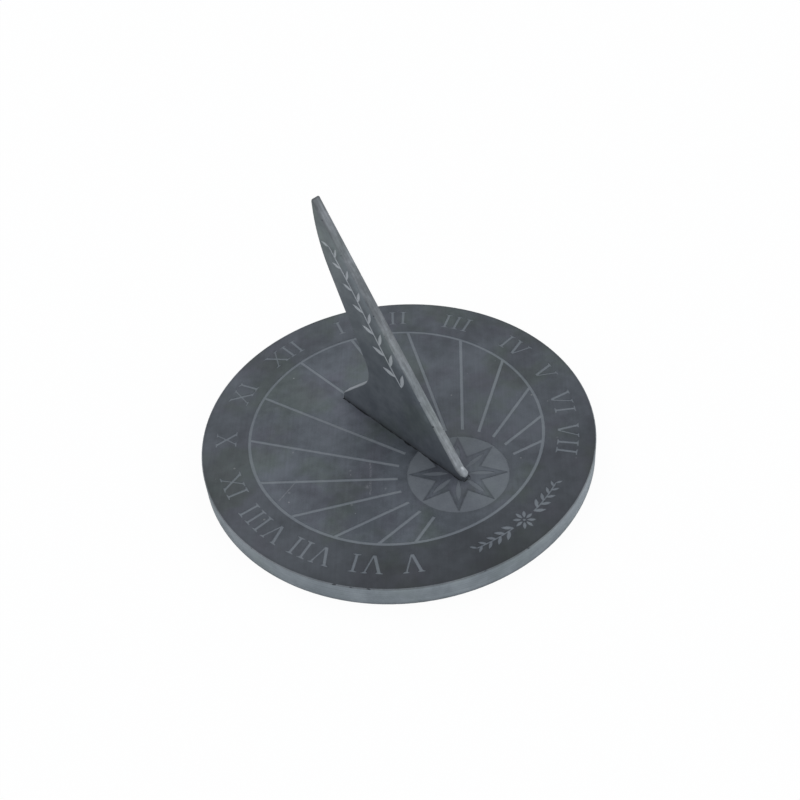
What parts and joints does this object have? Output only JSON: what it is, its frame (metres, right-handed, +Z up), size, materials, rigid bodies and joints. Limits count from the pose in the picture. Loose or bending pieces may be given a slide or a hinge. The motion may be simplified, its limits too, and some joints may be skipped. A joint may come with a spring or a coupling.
{
  "type": "slate garden sundial",
  "caption": "Round slate sundial: thick dial plate with engraved ring, fan of hour lines and star rose, and an upright curved slate gnomon bedded in a slot.",
  "frame": {"origin": "centre of the dial plate's underside", "axes": "+Z up, normal to the dial face; +Y towards the noon mark, the way the gnomon's tip leans; +X towards the afternoon hours"},
  "size_m": [0.22, 0.22, 0.1481],
  "materials": {
    "plate_slate": "honed slate, sawn edge, sandblasted engraving",
    "gnomon_slate": "riven and honed slate with ground edges",
    "resin": "matte set resin"
  },
  "bodies": {
    "root": {"dial_plate": "plate_slate", "gnomon": "gnomon_slate", "slot_resin": "resin"}
  },
  "joints": []
}
